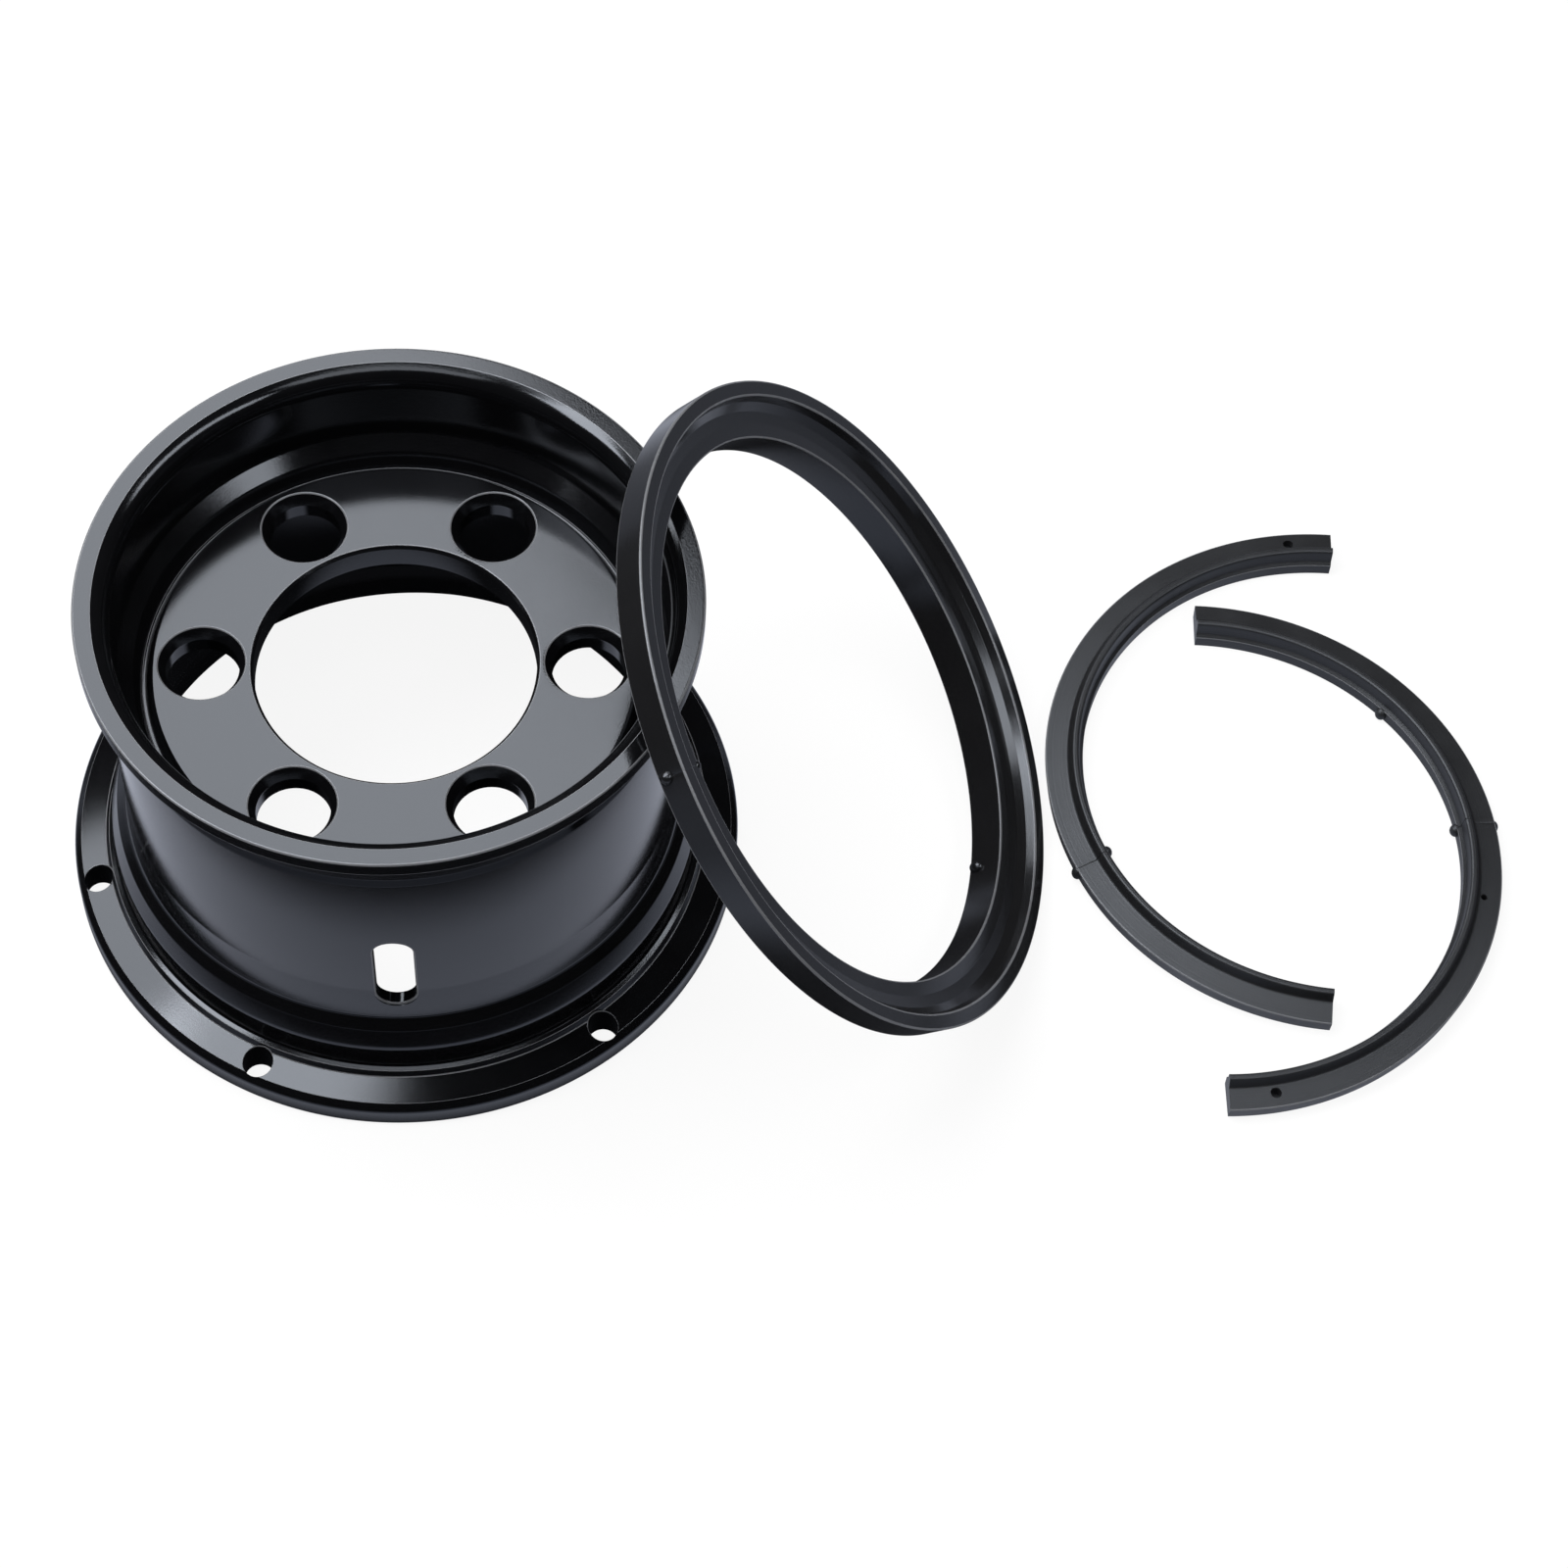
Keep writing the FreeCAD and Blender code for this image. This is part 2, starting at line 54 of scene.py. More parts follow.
# Sections as (radius, height, edge round), the base's heights from the floor
BASE_SECTION = [
    # flange and bead ledge
    (128.0, 0.0, 0.3), (143.4, 0.0, 2.0), (143.4, 10.2, 2.4), (140.4, 12.8, 0.4), (129.5, 15.8, 0.8),
    # seat and flared foot
    (128.0, 18.2, 0.5), (126.2, 18.9, 0.3), (125.5, 32.5, 8.0), (122.2, 41.6, 1.2), (118.0, 46.0, 3.0),
    # barrel and gutter
    (117.0, 66.0, 30.0), (117.0, 148.0, 1.2), (115.6, 151.0, 1.5), (115.6, 170.0, 3.0),
    # lip
    (124.0, 170.0, 0.3), (126.0, 172.0, 0.6), (126.0, 179.0, 0.8), (118.6, 179.0, 0.5),
    (114.0, 176.4, 9.0), (112.0, 171.0, 9.0),
    # collar with the disc's ledge
    (112.0, 139.6, 0.3), (106.2, 134.4, 0.3), (102.7, 126.0, 0.2), (102.7, 125.0, 0.0),
    (96.5, 125.0, 0.0), (96.5, 120.0, 0.3),
    # inner skirt
    (111.6, 101.0, 3.0), (111.6, 44.0, 4.0), (119.0, 24.0, 3.0), (119.0, 13.0, 0.3),
]
DISC_SECTION = [
    (57.8, 0.0, 0.3), (96.2, 0.0, 0.3), (96.2, 5.0, 0.0), (102.4, 5.0, 0.0), (102.4, 6.0, 0.2),
    (98.9, 12.0, 1.2), (59.1, 12.0, 0.6), (57.8, 10.7, 0.3),
]
WELD_SECTION = [(101.7, 6.0, 0.5), (103.3, 6.0, 0.5), (103.3, 7.1, 0.5), (101.7, 7.1, 0.5)]
RING_SECTION = [
    (118.2, 0.0, 0.5), (125.0, 0.0, 1.2), (128.0, 9.5, 1.1), (139.6, 9.5, 0.6), (141.0, 23.0, 0.8),
    (134.2, 23.0, 0.9), (132.9, 18.9, 0.3), (129.5, 16.4, 0.3), (124.5, 15.6, 0.3), (118.2, 15.6, 0.7),
]
LOCK_SECTION = [
    (112.6, 0.0, 0.3), (128.4, 0.0, 0.3), (129.6, 7.6, 0.6), (119.6, 9.0, 1.6), (117.8, 13.4, 1.2),
    (115.0, 13.4, 1.2), (114.2, 7.4, 0.3), (112.6, 6.0, 0.5),
]

# How finely the sections are turned
BASE_TURNS = 320
RING_TURNS = 320
LOCK_TURNS = 178
LOCK_ARC = 178.0
ARC_STEPS = 6
MARGIN = 0.5
LONG_SIDE = 4 * MARGIN
# Rounds of this radius get the lighter edge coat, a painted highlight
PAINTED_HIGHLIGHT_ROUNDS = (0.4, 1.0)
SEAM_WIDE = 0.16
SEAM_DEEP = 0.22
SHARP_ANGLE = 32.0

# Stud holes: the plain bore with its ridges, then (radius, height) up the countersink
RIDGE_DEEP = 0.10
STUD_RING = 78.75
STUD_COUNT = 6
STUD_SIDES = 64
STUD_RAD = 15.0
STUD_FOOT = -2.0
STUD_RIDGES = 7
STUD_PROFILE = [(15.0, 7.0), (17.7, 11.5), (17.93, 11.78), (18.2, 11.95), (18.55, 12.05), (18.55, 14.0)]
# Faces at the mouth of each stud hole that get the painted edge highlight
STUD_HIGHLIGHT_FACES = 3

# Flange holes: the upper edge as (spread, rise) against the flange's slope
FLANGE_HOLE_RING = 134.7
FLANGE_HOLE_RAD = 6.3
FLANGE_HOLE_SIDES = 48
FLANGE_HOLE_ANGLES = (-51.4, -116.3, -166.7)
FLANGE_HOLE_FOOT = (-2.0, 6.0)
FLANGE_HOLE_EDGE = ((0.0, -0.4), (0.12, -0.12), (0.4, 0.05))
FLANGE_EDGE = (140.4, 12.8)
FLANGE_SLOPE = 0.275
FLANGE_TOP = 26.0

# Valve slot, its depths from the barrel's skin
BARREL_RAD = 117.0
SLOT_RAD = 8.1
SLOT_LOW = 63.9
SLOT_HIGH = 95.8
SLOT_END_STEPS = 24
SLOT_ROUND = 0.8
SLOT_ROUND_STEPS = 4
SLOT_LEAD = (-4.0, -0.1)
SLOT_LEAD_SPREAD = 0.85
SLOT_RIDGES = 5
SLOT_RIDGE_END = 5.4
SLOT_DEEP = 8.0

# Blind holes in the halves as (ring, radius, angle), their profile as (spread, height)
PIN_HOLE = (123.4, 2.2, -79.7)
DOT_HOLE = (122.0, 1.2, -11.0)
PIN_PROFILE = [(0.0, 4.0), (0.0, 8.2), (0.12, 8.45), (0.4, 8.75), (0.4, 12.0)]
PIN_SIDES = 32

# Where the loose rings lie
RING_LEAN = 39.1
RING_TURN = -3.5
RING_PLACE = (170.539, -8.8)
RING_BACK_RAD = 139.6
RING_BACK_HIGH = 9.5
HALF_A_PLACE = (409.914, 25.0)
HALF_A_ANGLE = 174.1
HALF_B_PLACE = (348.514, -15.0)
HALF_B_ANGLE = -1.7

# Seams across the loose rings, and nubs of weld flash as (radius, height, angle, half height)
NUB_RAD = 2.8
NUB_SIDES = 20
NUB_ROWS = 14
RING_SEAM = -139.5
RING_NUBS = [(118.2, 12.8, -139.5, 3.4), (139.8, 13.6, -139.5, 3.0), (118.2, 3.6, -7.0, 3.4)]
HALF_A_SEAM = 28.8
HALF_A_NUBS = [(112.6, 3.2, 26.5, 3.2), (128.6, 3.9, 28.8, 3.6)]
HALF_B_SEAM = 7.0
HALF_B_NUBS = [(112.6, 3.2, 7.2, 3.2), (128.6, 3.9, 7.0, 3.6), (112.6, 3.2, 42.0, 3.2)]

# Noises of the paint as (scale, detail), and the depth of its bump in metres
CLOUD_NOISE = (45.0, 4.0)
CLOUD_SPAN = (0.3, 0.7)
LINE_NOISE = (1100.0, 2.0)
SPECK_NOISE = (1500.0, 3.0)
BUMP_STRENGTH = 1.0
BUMP_DEPTH = 0.0001
COAT_TINT = (0.84, 0.90, 1.0, 1.0)

# Coats as (name, dark tone, light tone, roughness, grain, turned lines): the faces', then the fine edge
# coat, whose much lighter tones are a painted highlight that shows as a thin bright line along each fine
# edge
PAINTED_HIGHLIGHT_DARK = (0.080, 0.082, 0.088)
PAINTED_HIGHLIGHT_LIGHT = (0.130, 0.133, 0.142)
RIM_COATS = [
    ("rim_satin_black", (0.0018, 0.0018, 0.0022), (0.0030, 0.0031, 0.0036), (0.09, 0.12), 0.20, 0.02),
    ("rim_painted_edge_highlight", PAINTED_HIGHLIGHT_DARK, PAINTED_HIGHLIGHT_LIGHT, (0.20, 0.26), 0.20, 0.02),
]
RING_COATS = [
    ("ring_satin_black", (0.0060, 0.0060, 0.0065), (0.0090, 0.0090, 0.0098), (0.13, 0.17), 0.14, 0.08),
    ("ring_painted_edge_highlight", PAINTED_HIGHLIGHT_DARK, PAINTED_HIGHLIGHT_LIGHT, (0.24, 0.30), 0.12, 0.10),
]
LOCK_COATS = [
    ("lock_matte_black", (0.0070, 0.0070, 0.0074), (0.0110, 0.0110, 0.0117), (0.40, 0.48), 0.30, 0.90),
    ("lock_painted_edge_highlight", PAINTED_HIGHLIGHT_DARK, PAINTED_HIGHLIGHT_LIGHT, (0.34, 0.42), 0.30, 0.90),
]

# The floor as the camera sees it, and by metres from the wheel's axis the glow that the paint mirrors in
# its place: painted light and shade, dark rings of painted shadow under the disc and rim and further out,
# pale pools of painted light below the bore and beside the flange
FLOOR_HALF = 4.0
FLOOR_COLOUR = (0.80, 0.80, 0.80, 1.0)
FLOOR_GLOW = (0.90, 1.0)
FLOOR_GLOW_REACH = (0.7, 1.8)
PAINTED_REFLECTION_STOPS = [
    (0.0, 0.60), (0.036, 0.60), (0.055, 0.02), (0.1438, 0.01), (0.147, 0.76),
    (0.180, 0.66), (0.207, 0.02), (0.28, 0.05), (0.34, 0.75), (0.6, 0.3),
]
PAINTED_REFLECTION_TINT = (0.91, 0.96, 1.12)
WORLD_COLOUR = (1.0, 1.0, 1.0, 1.0)
WORLD_DIM = 0.02
WORLD_WHITE = 1.0

# Softboxes as (name, azimuth, elevation, distance, (width, depth), radiance), in degrees and metres
WATTS_PER_RADIANCE = 4.0
SOFTBOXES = [
    ("top_left", 127, 65, 1.7, (1.5, 1.7), 4.4),
    ("upper_left", 165, 74, 1.6, (0.8, 0.85), 2.0),
    ("front_top", -90, 64, 1.6, (1.2, 0.5), 2.0),
    ("left_side", 188, 49, 1.5, (0.5, 0.6), 8.0),
    ("right_side", -14, 46, 1.5, (1.2, 0.34), 4.5),
]


def corner_arc(before, here, after, edge):
    """Points of the arc that rounds a section's corner."""
    back, ahead = (before - here).normalized(), (after - here).normalized()
    half = back.angle(ahead) / 2
    centre = here + (back + ahead).normalized() * (edge / math.sin(half))
    first = here + back * (edge / math.tan(half)) - centre
    last = here + ahead * (edge / math.tan(half)) - centre
    sweep = math.atan2(first.x * last.y - first.y * last.x, first.dot(last))
    return [centre + Matrix.Rotation(sweep * step / ARC_STEPS, 2) @ first for step in range(ARC_STEPS + 1)]


def rounded(corners):
    """Closed section as points, each corner replaced by an arc of its own radius.

    The marks say after which points a fine edge runs, one that gets the lighter edge coat, a painted
    highlight that shows as a thin line.
    """
    places = [Vector(corner[:2]) for corner in corners]
    points, marks = [], []
    for k, here in enumerate(places):
        edge = corners[k][2]
        arc = [here]
        if edge:
            arc = corner_arc(places[k - 1], here, places[(k + 1) % len(places)], edge)
        # A fine round is marked for the painted edge highlight
        fine = PAINTED_HIGHLIGHT_ROUNDS[0] <= edge <= PAINTED_HIGHLIGHT_ROUNDS[1]
        points += arc
        marks += [fine] * (len(arc) - 1) + [False]
    return with_margins(points, marks)


def with_margins(points, marks):
    """Adds a point close to both ends of each long straight side, so that flat faces shade flat."""
    full, full_marks = [], []
    for k, point in enumerate(points):
        side = points[(k + 1) % len(points)] - point
        full.append(point)
        full_marks.append(marks[k])
        if side.length > LONG_SIDE and not marks[k]:
            step = side.normalized() * MARGIN
            full += [point + step, point + side - step]
            full_marks += [False, False]
    return full, full_marks


def inset(points, depth):
    """The section drawn in along its own normals."""
    moved = []
    for k, point in enumerate(points):
        along = points[(k + 1) % len(points)] - points[k - 1]
        inward = Vector((-along.y, along.x)).normalized()
        moved.append(point + inward * depth)
    return moved


def even_angles(span, count, seam=None):
    """Angles of the lathe's stations about zero, with a narrow group of three at a seam."""
    first = -span / 2
    angles = [first + span * k / count for k in range(count if span == FULL_TURN else count + 1)]
    if seam is not None:
        angles = [angle for angle in angles if abs(angle - seam) > 2 * SEAM_WIDE]
        angles += [seam - SEAM_WIDE, seam, seam + SEAM_WIDE]
    return sorted(angles)


def lathe(name, corners, coat, count, span=FULL_TURN, seam=None):
    """A section turned about Z, whole or in part, with a fine groove across it at the seam."""
    section, marks = rounded(corners)
    drawn = inset(section, SEAM_DEEP)
    shape = bmesh.new()
    stations = []
    for angle in even_angles(span, count, seam):
        turn = Matrix.Rotation(math.radians(angle), 3, "Z")
        points = drawn if angle == seam else section
        stations.append([shape.verts.new(turn @ Vector((p.x, 0, p.y)) * MM) for p in points])
    closed = span == FULL_TURN
    for k in range(len(stations) if closed else len(stations) - 1):
        here, there = stations[k], stations[(k + 1) % len(stations)]
        for i in range(len(section)):
            j = (i + 1) % len(section)
            face = shape.faces.new((here[i], there[i], there[j], here[j]))
            # Faces after a marked point take the second coat, the painted edge highlight
            face.material_index = int(marks[i])
    if not closed:
        shape.faces.new(stations[0])
        shape.faces.new(list(reversed(stations[-1])))
    return finish_mesh(name, shape, coat)


def finish_mesh(name, shape, coat=()):
    """An object of the shape, with its coats."""
    bmesh.ops.recalc_face_normals(shape, faces=shape.faces[:])
    mesh = bpy.data.meshes.new(name)
    shape.to_mesh(mesh)
    shape.free()
    for material in coat:
        mesh.materials.append(material)
    piece = bpy.data.objects.new(name, mesh)
    bpy.context.scene.collection.objects.link(piece)
    return piece


def loft(name, rings, highlight_bands=()):
    """A closed skin over rings of points, in millimetres, capped at both ends; the bands after the listed
    rings are marked for the second coat, the painted edge highlight, of the piece they cut.
    """
    shape = bmesh.new()
    skin = [[shape.verts.new(Vector(point) * MM) for point in ring] for ring in rings]
    count = len(skin[0])
    for k, (here, there) in enumerate(zip(skin, skin[1:])):
        for i in range(count):
            j = (i + 1) % count
            face = shape.faces.new((here[i], here[j], there[j], there[i]))
            face.material_index = int(k in highlight_bands)
    shape.faces.new(list(reversed(skin[0])))
    shape.faces.new(skin[-1])
    return finish_mesh(name, shape)


def circle(radius, height, place, angle, count):
    """Points round a hole's axis, which stands at a radius and angle about Z."""
    a = math.radians(angle)
    centre = Vector((place * math.cos(a), place * math.sin(a), height))
    spokes = [2 * math.pi * k / count for k in range(count)]
    return [centre + Vector((radius * math.cos(s), radius * math.sin(s), 0)) for s in spokes]


def stud_cutter(angle):
    """A stud hole with fine ridges in its bore and a countersunk mouth, the mouth's first faces marked for
    the painted edge highlight.
    """
    rise = STUD_PROFILE[0][1] - STUD_FOOT
    steps = 2 * STUD_RIDGES
    bore = [(STUD_RAD, STUD_FOOT)]
    for k in range(steps):
        bore.append((STUD_RAD + RIDGE_DEEP * (k % 2), STUD_FOOT + rise * (k + 1) / (steps + 1)))
    mouth = len(bore) + 1
    rings = [circle(radius, height, STUD_RING, angle, STUD_SIDES) for radius, height in bore + STUD_PROFILE]
    return loft("stud_cutter", rings, range(mouth, mouth + STUD_HIGHLIGHT_FACES))


def flange_ring(spread, height, angle):
    return circle(FLANGE_HOLE_RAD + spread, height, FLANGE_HOLE_RING, angle, FLANGE_HOLE_SIDES)


def flange_cutter(angle):
    """A hole through the flange, its upper edge rounded along the flange's slope and marked for the painted
    edge highlight.
    """
    rings = [flange_ring(0.0, height, angle) for height in FLANGE_HOLE_FOOT]
    first = len(rings)
    for spread, rise in FLANGE_HOLE_EDGE:
        ring = flange_ring(spread, 0.0, angle)
        for point in ring:
            point.z = FLANGE_EDGE[1] + FLANGE_SLOPE * (FLANGE_EDGE[0] - point.xy.length) + rise
        rings.append(ring)
    highlight_bands = range(first, len(rings) - 1)
    rings.append(flange_ring(FLANGE_HOLE_EDGE[-1][0], FLANGE_TOP, angle))
    return loft("flange_cutter", rings, highlight_bands)


def slot_outline(spread):
    """Upright slot with round ends, drawn wider by the given amount, as points across and up."""
    reach = SLOT_RAD + spread
    points = []
    for middle, start in ((SLOT_HIGH, 0.0), (SLOT_LOW, math.pi)):
        for k in range(SLOT_END_STEPS + 1):
            a = start + math.pi * k / SLOT_END_STEPS
            points.append((reach * math.cos(a), middle + reach * math.sin(a)))
    return points


def slot_ring(spread, depth):
    """The slot's outline at a depth below the barrel's skin."""
    ring = []
    for across, up in slot_outline(spread):
        skin = math.sqrt(BARREL_RAD ** 2 - across ** 2)
        ring.append((across, depth - skin, up))
    return ring


def slot_cutter():
    """Slot through the front of the barrel, its outer edge rounded and marked for the painted edge
    highlight, and its wall ridged.
    """
    stations = [(SLOT_LEAD_SPREAD, depth) for depth in SLOT_LEAD]
    first = len(stations)
    for k in range(SLOT_ROUND_STEPS + 1):
        t = math.pi / 2 * k / SLOT_ROUND_STEPS
        stations.append((SLOT_ROUND * (1 - math.sin(t)), SLOT_ROUND * (1 - math.cos(t))))
    highlight_bands = range(first, len(stations) - 1)
    pitch = (SLOT_RIDGE_END - SLOT_ROUND) / (2 * SLOT_RIDGES)
    for k in range(2 * SLOT_RIDGES):
        stations.append((RIDGE_DEEP * ((k + 1) % 2), SLOT_ROUND + pitch * (k + 1)))
    stations.append((0.0, SLOT_DEEP))
    return loft("slot_cutter", [slot_ring(*station) for station in stations], highlight_bands)


def pin_cutter(place, hole, angle):
    """A blind hole from above in a lock ring half."""
    rings = [circle(hole + spread, height, place, angle, PIN_SIDES) for spread, height in PIN_PROFILE]
    return loft("pin_cutter", rings)


def carve(piece, cutters):
    """Takes the cutters out of the piece and keeps the result as its mesh."""
    for cutter in cutters:
        modifier = piece.modifiers.new(cutter.name, "BOOLEAN")
        modifier.operation = "DIFFERENCE"
        modifier.solver = "EXACT"
        modifier.object = cutter
    graph = bpy.context.evaluated_depsgraph_get()
    piece.data = bpy.data.meshes.new_from_object(piece.evaluated_get(graph))
    piece.modifiers.clear()
    for cutter in cutters:
        bpy.data.objects.remove(cutter)


def add_nubs(piece, nubs):
    """Rounded nubs of weld flash, half sunk in the ring's skin."""
    shape = bmesh.new()
    shape.from_mesh(piece.data)
    for radius, height, angle, tall in nubs:
        turn = Matrix.Rotation(math.radians(angle), 4, "Z")
        place = Matrix.Translation(Vector((radius, 0, height)) * MM)
        size = Matrix.Diagonal((NUB_RAD * MM, NUB_RAD * MM, tall * MM, 1.0))
        bmesh.ops.create_uvsphere(shape, u_segments=NUB_SIDES, v_segments=NUB_ROWS, radius=1.0,
                                  matrix=turn @ place @ size)
    shape.to_mesh(piece.data)
    shape.free()


def dress(piece, node=None):
    """Smooth skin with flat faces kept flat, and its place on the part."""
    for polygon in piece.data.polygons:
        polygon.use_smooth = True
    piece.data.set_sharp_from_angle(angle=math.radians(SHARP_ANGLE))
    normals = piece.modifiers.new("flat_faces", "WEIGHTED_NORMAL")
    normals.keep_sharp = True
    if node:
        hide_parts(node)
    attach(piece, "root")


def new_material(name):
    """An empty material and its node tree."""
    material = bpy.data.materials.new(name)
    material.use_nodes = True
    material.node_tree.nodes.clear()
    return material, material.node_tree


def add_node(tree, kind, sockets=None, **settings):
    """A node with its settings, each input given a value or linked to another node's output."""
    node = tree.nodes.new(kind)
    for key, value in settings.items():
        setattr(node, key, value)
    for key, given in (sockets or {}).items():
        if isinstance(given, bpy.types.NodeSocket):
            tree.links.new(given, node.inputs[key])
        else:
            node.inputs[key].default_value = given
    return node


def add_math(tree, operation, first, second):
    return add_node(tree, "ShaderNodeMath", {0: first, 1: second}, operation=operation).outputs["Value"]


def add_length(tree, vector):
    return add_node(tree, "ShaderNodeVectorMath", {0: vector}, operation="LENGTH").outputs["Value"]


def add_noise(tree, vector, noise):
    sockets = {"Vector": vector, "Scale": noise[0], "Detail": noise[1]}
    return add_node(tree, "ShaderNodeTexNoise", sockets).outputs["Fac"]


def add_range(tree, value, source, target):
    """The value carried from the source span to the target span."""
    sockets = {"Value": value, "From Min": source[0], "From Max": source[1],
               "To Min": target[0], "To Max": target[1]}
    return add_node(tree, "ShaderNodeMapRange", sockets).outputs["Result"]


def add_mix(tree, factor, first, second):
    return add_node(tree, "ShaderNodeMixShader", {"Fac": factor, 1: first, 2: second}).outputs["Shader"]


def turned_place(tree, place):
    """Radius and height about the piece's axis, for a noise that runs round it in lines."""
    axes = add_node(tree, "ShaderNodeSeparateXYZ", {"Vector": place}).outputs
    flat = add_node(tree, "ShaderNodeCombineXYZ", {"X": axes["X"], "Y": axes["Y"]}).outputs["Vector"]
    sockets = {"X": add_length(tree, flat), "Y": axes["Z"]}
    return add_node(tree, "ShaderNodeCombineXYZ", sockets).outputs["Vector"]


def coat_bump(tree, place, grain, lines):
    """Fine grain, and faint lines left by the lathe."""
    turned = add_noise(tree, turned_place(tree, place), LINE_NOISE)
    speck = add_noise(tree, place, SPECK_NOISE)
    height = add_math(tree, "ADD", add_math(tree, "MULTIPLY", turned, lines),
                      add_math(tree, "MULTIPLY", speck, grain))
    sockets = {"Strength": BUMP_STRENGTH, "Distance": BUMP_DEPTH, "Height": height}
    return add_node(tree, "ShaderNodeBump", sockets).outputs["Normal"]


def paint(name, dark, light, rough, grain, lines):
    """Black coat over turned steel: cloudy tone, fine grain and faint lines round the axis."""
    material, tree = new_material(name)
    place = add_node(tree, "ShaderNodeTexCoord").outputs["Object"]
    cloud = add_noise(tree, place, CLOUD_NOISE)
    tones = {"Factor": cloud, "A": (*dark, 1.0), "B": (*light, 1.0)}
    shader = add_node(tree, "ShaderNodeBsdfPrincipled", {
        "Specular Tint": COAT_TINT,
        "Base Color": add_node(tree, "ShaderNodeMix", tones, data_type="RGBA").outputs["Result"],
        "Roughness": add_range(tree, cloud, CLOUD_SPAN, rough),
        "Normal": coat_bump(tree, place, grain, lines),
    })
    add_node(tree, "ShaderNodeOutputMaterial", {"Surface": shader.outputs["BSDF"]})
    return material


def painted_floor_reflection(tree, reach):
    """A glow that the paint mirrors in place of the floor: painted light and shade in pale and dark rings
    about the wheel's axis.
    """
    painted_rings = add_node(tree, "ShaderNodeValToRGB", {"Fac": reach})
    stops = painted_rings.color_ramp.elements
    stops[0].position, stops[1].position = PAINTED_REFLECTION_STOPS[0][0], PAINTED_REFLECTION_STOPS[-1][0]
    for position, _ in PAINTED_REFLECTION_STOPS[1:-1]:
        stops.new(position)
    for stop, (_, level) in zip(stops, PAINTED_REFLECTION_STOPS):
        stop.color = [level * part for part in PAINTED_REFLECTION_TINT] + [1.0]
    return add_node(tree, "ShaderNodeEmission", {"Color": painted_rings.outputs["Color"]}).outputs["Emission"]


def floor_material():
    """Pale floor, white to the camera but for a soft shadow, and mirrored by the paint as rings of painted
    light and shade.
    """
    material, tree = new_material("studio_floor")
    reach = add_length(tree, add_node(tree, "ShaderNodeTexCoord").outputs["Object"])
    path = add_node(tree, "ShaderNodeLightPath").outputs
    seen = add_math(tree, "MAXIMUM", path["Is Camera Ray"], path["Is Transmission Ray"])
    glow = add_math(tree, "MULTIPLY", seen, add_range(tree, reach, FLOOR_GLOW_REACH, FLOOR_GLOW))
    matte = add_node(tree, "ShaderNodeBsdfDiffuse", {"Color": FLOOR_COLOUR}).outputs["BSDF"]
    white = add_node(tree, "ShaderNodeEmission").outputs["Emission"]
    lit = add_mix(tree, glow, matte, white)
    # Glossy rays see the rings of painted light and shade instead of the lit floor
    shown = add_mix(tree, path["Is Glossy Ray"], lit, painted_floor_reflection(tree, reach))
    add_node(tree, "ShaderNodeOutputMaterial", {"Surface": shown})
    return material


def add_floor():
    corners = [(x * FLOOR_HALF, y * FLOOR_HALF, 0) for x, y in ((-1, -1), (1, -1), (1, 1), (-1, 1))]
    mesh = bpy.data.meshes.new("floor")
    mesh.from_pydata(corners, [], [(0, 1, 2, 3)])
    floor = bpy.data.objects.new("floor", mesh)
    floor.location = (0, 0, FLOOR_HEIGHT * MM)
    floor.data.materials.append(floor_material())
    bpy.context.scene.collection.objects.link(floor)


def add_softbox(name, azimuth, elevation, distance, size, radiance):
    """A rectangular light of even radiance, aimed at the hub."""
    light = bpy.data.lights.new(name, "AREA")
    light.shape = "RECTANGLE"
    light.size, light.size_y = size
    light.energy = WATTS_PER_RADIANCE * radiance * size[0] * size[1]
    lamp = bpy.data.objects.new(name, light)
    a, e = math.radians(azimuth), math.radians(elevation)
    out = Vector((math.cos(a) * math.cos(e), math.sin(a) * math.cos(e), math.sin(e)))
    lamp.location = out * distance
    lamp.rotation_euler = (-out).to_track_quat("-Z", "Y").to_euler()
    bpy.context.scene.collection.objects.link(lamp)


def add_world():
    """Dim studio, white where the camera looks past the floor."""
    world = bpy.data.worlds.new("studio")
    bpy.context.scene.world = world
    world.use_nodes = True
    tree = world.node_tree
    seen = add_node(tree, "ShaderNodeLightPath").outputs["Is Camera Ray"]
    background = tree.nodes["Background"].inputs
    background["Color"].default_value = WORLD_COLOUR
    tree.links.new(add_range(tree, seen, (0.0, 1.0), (WORLD_DIM, WORLD_WHITE)), background["Strength"])


def add_camera():
    data = bpy.data.cameras.new("camera")
    data.lens = CAMERA_LENS
    data.sensor_width = CAMERA_SENSOR
    data.clip_start, data.clip_end = CAMERA_CLIP
    camera = bpy.data.objects.new("camera", data)
    heading = Matrix.Rotation(math.radians(-CAMERA_HEADING), 4, "Z")
    pitch = Matrix.Rotation(math.radians(90.0 - CAMERA_PITCH), 4, "X")
    roll = Matrix.Rotation(math.radians(CAMERA_ROLL), 4, "Z")
    camera.matrix_world = Matrix.Translation(CAMERA_PLACE) @ heading @ pitch @ roll
    bpy.context.scene.collection.objects.link(camera)
    bpy.context.scene.camera = camera


def build_base(coat):
    """Barrel, flange and lip in one, with the valve slot and the flange holes."""
    base = lathe("rim_base_skin", BASE_SECTION, coat, BASE_TURNS)
    carve(base, [slot_cutter()] + [flange_cutter(angle) for angle in FLANGE_HOLE_ANGLES])
    base.location.z = FLOOR_HEIGHT * MM
    return base


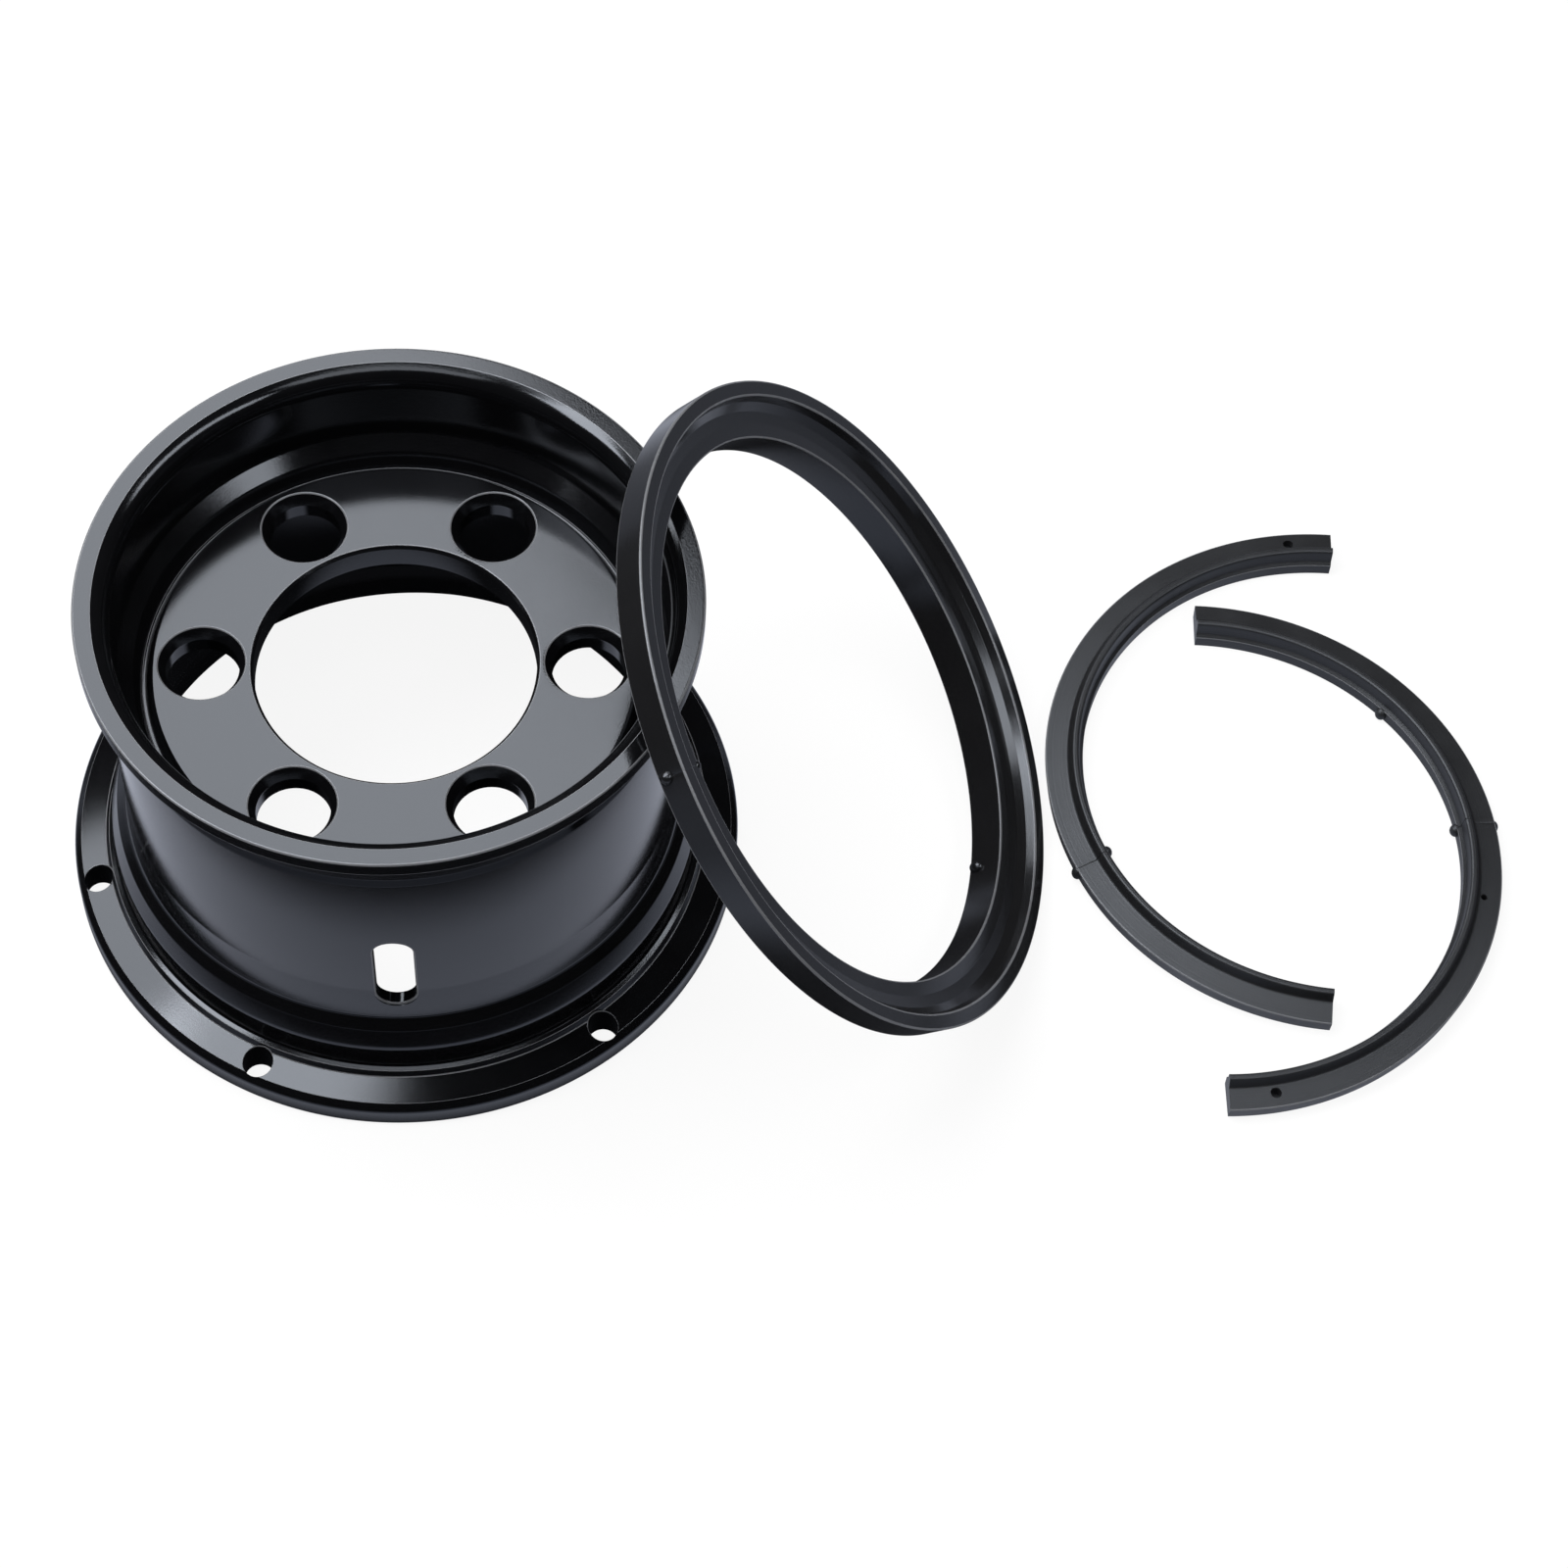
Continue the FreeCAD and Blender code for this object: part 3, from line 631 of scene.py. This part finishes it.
def build_disc(coat):
    """Hub disc with its stud holes."""
    disc = lathe("wheel_disc_skin", DISC_SECTION, coat, BASE_TURNS)
    carve(disc, [stud_cutter(FULL_TURN * k / STUD_COUNT) for k in range(STUD_COUNT)])
    return disc


def build_ring(coat):
    """Side ring, leaning on the lip with its back edge on the floor."""
    ring = lathe("side_ring_skin", RING_SECTION, coat, RING_TURNS, seam=RING_SEAM)
    add_nubs(ring, RING_NUBS)
    lean = math.radians(RING_LEAN)
    height = RING_BACK_RAD * math.cos(lean) - RING_BACK_HIGH * math.sin(lean) + FLOOR_HEIGHT
    turn = Matrix.Rotation(math.radians(RING_TURN), 4, "Z")
    tip = Matrix.Rotation(math.pi / 2 - lean, 4, "Y")
    ring.matrix_world = Matrix.Translation(Vector((*RING_PLACE, height)) * MM) @ turn @ tip
    return ring


def build_half(name, coat, place, angle, seam, nubs, holes):
    """Half of the lock ring, lying on the floor."""
    half = lathe(name, LOCK_SECTION, coat, LOCK_TURNS, LOCK_ARC, seam)
    carve(half, [pin_cutter(*hole) for hole in holes])
    add_nubs(half, nubs)
    turn = Matrix.Rotation(math.radians(angle), 4, "Z")
    half.matrix_world = Matrix.Translation(Vector((*place, FLOOR_HEIGHT)) * MM) @ turn
    return half


rim_coat = [paint(*coat) for coat in RIM_COATS]
ring_coat = [paint(*coat) for coat in RING_COATS]
lock_coat = [paint(*coat) for coat in LOCK_COATS]

dress(build_base(rim_coat), "rim_base")
dress(build_disc(rim_coat), "wheel_disc")
dress(lathe("weld_bead", WELD_SECTION, rim_coat, BASE_TURNS))
dress(build_ring(ring_coat), "side_ring")
half_a = build_half("lock_ring_half_a_skin", lock_coat, HALF_A_PLACE, HALF_A_ANGLE, HALF_A_SEAM,
                    HALF_A_NUBS, [PIN_HOLE])
dress(half_a, "lock_ring_half_a")
half_b = build_half("lock_ring_half_b_skin", lock_coat, HALF_B_PLACE, HALF_B_ANGLE, HALF_B_SEAM,
                    HALF_B_NUBS, [PIN_HOLE, DOT_HOLE])
dress(half_b, "lock_ring_half_b")

add_floor()
for softbox in SOFTBOXES:
    add_softbox(*softbox)
add_world()
add_camera()
bpy.context.scene.view_settings.view_transform = "Standard"
